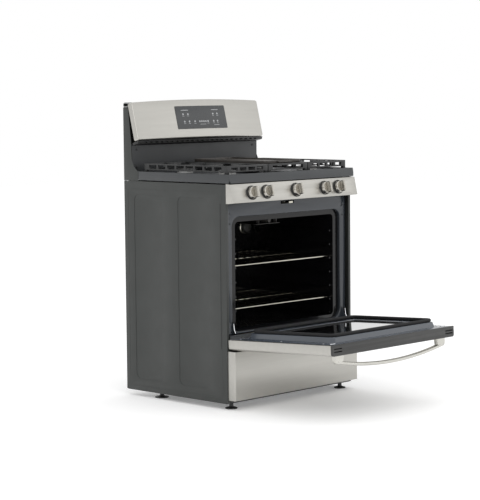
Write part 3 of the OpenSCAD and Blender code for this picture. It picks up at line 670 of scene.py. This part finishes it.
def door_liner():
    """Enamelled inner panel: flat flange, sloping flanks, a raised rim and a glass recess."""
    flange_y = y_at(DOOR_BACK)

    def ring(half, z0, z1, r, lift):
        return [opened((a, flange_y + lift * MM, b))
                for a, b in rounded_loop(half * MM, z0 * MM, z1 * MM, r * MM)]

    rings = [ring(370, 292, 800, 3, -1.2), ring(370, 292, 800, 3, -0.4),
             ring(368.5, 292.5, 798.5, 3, 0.1), ring(323, 306.5, 766, 18, 0.1),
             ring(320.5, 309, 763.5, 18, 0.9), ring(319, 311, 762, 18, 3.0),
             ring(314, 318.5, 758, 16, 18.6), ring(312.5, 321, 756.5, 15, 21.2),
             ring(311, 324.5, 754, 14, 22), ring(268, 366, 710, 16, 22),
             ring(265, 369, 707, 14, 21.2), ring(263.5, 370.5, 705.5, 13, 19),
             ring(262.5, 371.5, 704.5, 12, 10.8)]
    bm = bmesh.new()
    loft(bm, rings)
    # The lowest band of the flange, in three strips that leave room for the hinge ears
    low, high = 262 * MM, 293 * MM
    for x0, x1 in ((-370, -306), (-290, 290), (306, 370)):
        strip = [(x0 * MM, low), (x1 * MM, low), (x1 * MM, high), (x0 * MM, high)]
        prism(bm, strip, y_at(DOOR_BACK + 1.2), y_at(DOOR_BACK - 0.1), on_open_door() @ XZ_PLANE)
    piece("door_liner", mesh_of(bm, "door_liner"), "door_liner_enamel", "oven_door",
          ["door_inner_panel"], smooth=60)


def gasket():
    """Rope gasket, slightly flattened, lying on the raised rim."""
    steps = 12
    path = rounded_loop(306 * MM, 328 * MM, 751 * MM, 24 * MM, 10)
    n = len(path)
    centre_y = y_at(DOOR_BACK) + 28.8 * MM
    rings = []
    for k in range(n):
        a0, b0 = path[k - 1]
        a1, b1 = path[(k + 1) % n]
        tangent = Vector((a1 - a0, b1 - b0)).normalized()
        out = Vector((tangent.y, -tangent.x))
        ring = []
        for s in range(steps):
            t = 2 * math.pi * s / steps
            across = 7.4 * MM * math.cos(t)
            lift = 7.0 * MM * math.sin(t)
            ring.append(opened((path[k][0] + out.x * across, centre_y + lift,
                                path[k][1] + out.y * across)))
        rings.append(ring)
    bm = bmesh.new()
    made = loft(bm, rings)
    for s in range(steps):
        m = (s + 1) % steps
        bm.faces.new((made[-1][s], made[-1][m], made[0][m], made[0][s]))
    piece("gasket_rope", mesh_of(bm, "gasket_rope"), "gasket_rope", "oven_door",
          ["door_gasket"], smooth=80)


def door_details():
    """Notched clips at the upper corners, and screws."""
    door = on_open_door()
    bm = bmesh.new()
    for side in (-1, 1):
        clip = [(side * 352, 776), (side * 326, 776), (side * 326, 780), (side * 352, 780)]
        points = [(a * MM, b * MM) for a, b in clip]
        prism(bm, points, y_at(DOOR_BACK + 0.2), y_at(DOOR_BACK - 2.8), door @ XZ_PLANE)
    piece("door_clips", mesh_of(bm, "door_clips"), "zinc_steel", "oven_door", smooth=30,
          material=MATS["bright"])
    bm = bmesh.new()
    for side in (-1, 1):
        for x, z in ((348, 300), (348, 520), (348, 740)):
            spot = Matrix.Translation(opened((side * x * MM, y_at(DOOR_BACK), z * MM)))
            aim = Matrix.Rotation(DOOR_SWING, 4, "X") @ Matrix.Rotation(-math.pi / 2, 4, "X")
            lathe(bm, [(0, 0), (3.4, 0), (3.4, 0.8), (2.4, 1.6), (0, 1.9)],
                  spot @ aim @ Matrix.Scale(MM, 4), 16)
    piece("door_screws", mesh_of(bm, "door_screws"), "zinc_steel", "oven_door", smooth=30)


def handle():
    """Bowed bar with a soft oval section, its ends turned down into two posts."""
    chord, bow, z, end = 340, 34, HANDLE_HEIGHT, 678
    steps, around = 56, 20
    radius = (chord * chord + bow * bow) / (2 * bow)
    sweep = math.asin(chord / radius)
    rings = []
    for k in range(steps + 1):
        t = -sweep + 2 * sweep * k / steps
        close = min(1.0, (sweep - abs(t)) * radius / 7.0)
        size = math.sqrt(max(0.04, 1 - (1 - close) ** 2))
        middle = Vector((radius * math.sin(t), end + bow - radius * (1 - math.cos(t))))
        out = Vector((math.sin(t), math.cos(t)))
        ring = []
        for j in range(around):
            a = 2 * math.pi * j / around
            c, d = math.cos(a), math.sin(a)
            flat = 7.4 * size * math.copysign(abs(c) ** 0.75, c)
            tall = 11.8 * size * math.copysign(abs(d) ** 0.75, d)
            spot = middle + out * flat
            ring.append(opened((spot.x * MM, y_at(spot.y), (z + tall) * MM)))
        rings.append(ring)
    bm = bmesh.new()
    loft(bm, rings, close_first=True, close_last=True)
    for side in (-1, 1):
        posts = []
        for d, low_x, high_x, tall in ((652.6, 290, 338, 12.4), (655, 290, 338, 12),
                                       (668, 291, 339, 11.5), (680, 292, 338, 11.0)):
            mid, half = (low_x + high_x) / 2, (high_x - low_x) / 2
            posts.append([opened((side * (mid + a) * MM, y_at(d), (z + b) * MM))
                          for a, b in rounded_loop(half, -tall, tall, 5, 5)])
        loft(bm, posts, close_first=True, close_last=True)
    piece("handle_bar", mesh_of(bm, "handle_bar"), "handle_metal", "oven_door",
          ["door_handle"], smooth=50)


def trim_slot_shade_backs():
    """Black sheets under the vent slots in the top of the door: painted shade, so the slots look
    dark inside.
    """
    bm = bmesh.new()
    for side in (-1, 1):
        x0, x1 = sorted((side * 317 * MM, side * 369 * MM))
        for d in (626, 637):
            prism(bm, [(x0, y_at(d + 3.6)), (x1, y_at(d + 3.6)), (x1, y_at(d - 3.6)),
                       (x0, y_at(d - 3.6))], 0.7985, 0.8008, on_open_door())
    piece("trim_slot_shade_backs", mesh_of(bm, "trim_slot_shade_backs"), "painted_shade", "oven_door", smooth=0)


def hinge_links():
    """Bright link plates that stand up beside the frame at each hinge."""
    bm = bmesh.new()
    for side in (-1, 1):
        x = side * 341
        outline = [(580, 300), (580, 345), (588, 352), (597, 346), (600, 322), (607, 308),
                   (607, 300)]
        points = [(y_at(d), z * MM) for d, z in outline]
        prism(bm, points, (x - 1.5) * MM, (x + 1.5) * MM, YZ_PLANE)
    piece("hinge_links", mesh_of(bm, "hinge_links"), "zinc_steel", "range_body",
          smooth=30, material=MATS["bright"])


# ---------------------------------------------------------------- cooktop details


# Burners: place across, depth from the rear, and radius of the head, in millimetres
CORNER_BURNERS = [(-241, 470, 40), (-241, 225, 36), (241, 470, 46), (241, 225, 32)]
MIDDLE_BURNER = (0, 345, 28)


def igniters():
    """A ceramic igniter with its pin beside each burner head."""
    bm = bmesh.new()
    for x, d, r in CORNER_BURNERS + [MIDDLE_BURNER]:
        reach = r + (10 if x else 8)
        space = Matrix.Translation((((x + reach * 0.72) * MM), y_at(d - reach * 0.72), 0.938))
        lathe(bm, [(0, 0), (3.5, 0), (3.5, 9), (2.6, 10), (1.0, 10.4), (0.9, 13), (0, 13.2)],
              space @ Matrix.Scale(MM, 4), 16)
    piece("igniters", mesh_of(bm, "igniters"), "burner_aluminium", "range_body", smooth=35)


def burner_ports():
    """Flame-port teeth round each burner head."""
    bm = bmesh.new()
    for x, d, r in CORNER_BURNERS:
        count = int(r * 0.8)
        for k in range(count):
            t = 2 * math.pi * k / count
            place = Matrix.Translation((x * MM, y_at(d), 0)) @ Matrix.Rotation(t, 4, "Z")
            a0, a1 = (r - 8) * MM, (r - 4.2) * MM
            prism(bm, [(a0, -1.3 * MM), (a1, -1.3 * MM), (a1, 1.3 * MM), (a0, 1.3 * MM)],
                  0.9425, 0.9478, place)
    piece("burner_ports", mesh_of(bm, "burner_ports"), "burner_aluminium", "range_body",
          smooth=30)


# ---------------------------------------------------------------- side panels, frame and back


def side_beads():
    """Pressed bead lines near the edges of both side panels."""
    bm = bmesh.new()
    lines = [(22, 80, 480), (22, 510, 868), (569, 60, 400), (569, 430, 868)]
    for side in (-1, 1):
        x0, x1 = sorted((side * 377.9 * MM, side * 378.9 * MM))
        for d, z0, z1 in lines:
            prism(bm, [(y_at(d + 1.5), z0 * MM), (y_at(d - 1.5), z0 * MM),
                       (y_at(d - 1.5), z1 * MM), (y_at(d + 1.5), z1 * MM)], x0, x1, YZ_PLANE)
        for z in (45, 872):
            for d0, d1 in ((40, 250), (290, 550)):
                prism(bm, [(y_at(d1), (z - 1.5) * MM), (y_at(d0), (z - 1.5) * MM),
                           (y_at(d0), (z + 1.5) * MM), (y_at(d1), (z + 1.5) * MM)], x0, x1,
                      YZ_PLANE)
    piece("side_beads", mesh_of(bm, "side_beads"), "dark_paint", "range_body", smooth=30)


def frame_gap_shade():
    """Dark sheets in the gaps beside the front frame: painted shadow in the gaps."""
    bm = bmesh.new()
    for side in (-1, 1):
        x0, x1 = sorted((side * 360.3 * MM, side * 378.6 * MM))
        prism(bm, [(x0, y_at(566)), (x1, y_at(566)), (x1, y_at(562)), (x0, y_at(562))],
              0.245, 0.828, Matrix.Identity(4))
    piece("frame_gap_shade_backs", mesh_of(bm, "frame_gap_shade_backs"), "painted_shade", "range_body", smooth=0)


def lamp_ring():
    """Bright retaining ring round the oven lamp's lens."""
    low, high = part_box("oven_lamp")
    space = (Matrix.Translation(((low[0] + high[0]) / 2, high[1], (low[2] + high[2]) / 2))
             @ Matrix.Rotation(math.pi / 2, 4, "X") @ Matrix.Scale(MM, 4))
    bm = bmesh.new()
    lathe(bm, [(29.5, 3.5), (34.5, 3.5), (34.5, 5.5), (33, 7.2), (30.5, 7.6), (29.2, 6.4),
               (29.5, 3.5)], space, 48)
    piece("lamp_ring", mesh_of(bm, "lamp_ring"), "chrome", "range_body", smooth=40)


def temperature_probe():
    """Rod that stands out of the oven's back wall, on its round base."""
    bm = bmesh.new()
    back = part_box("oven_liner")[1][1] - 1.5 * MM
    space = Matrix.Translation((-0.240, back, 0.700)) @ Matrix.Rotation(math.pi / 2, 4, "X")
    lathe(bm, [(0, 0), (9, 0), (9, 2), (4, 3), (2.5, 4), (2.5, 108), (1.6, 110), (0, 110.5)],
          space @ Matrix.Scale(MM, 4), 16)
    piece("temperature_probe", mesh_of(bm, "probe"), "chrome", "range_body", smooth=35)


add_camera()
add_stage()
finish_cad_shapes()
console_face()
display_plate()
display_marks()
for number in range(1, 6):
    knob(number)
door_liner()
gasket()
door_details()
handle()
trim_slot_shade_backs()
hinge_links()
igniters()
burner_ports()
side_beads()
frame_gap_shade()
lamp_ring()
temperature_probe()
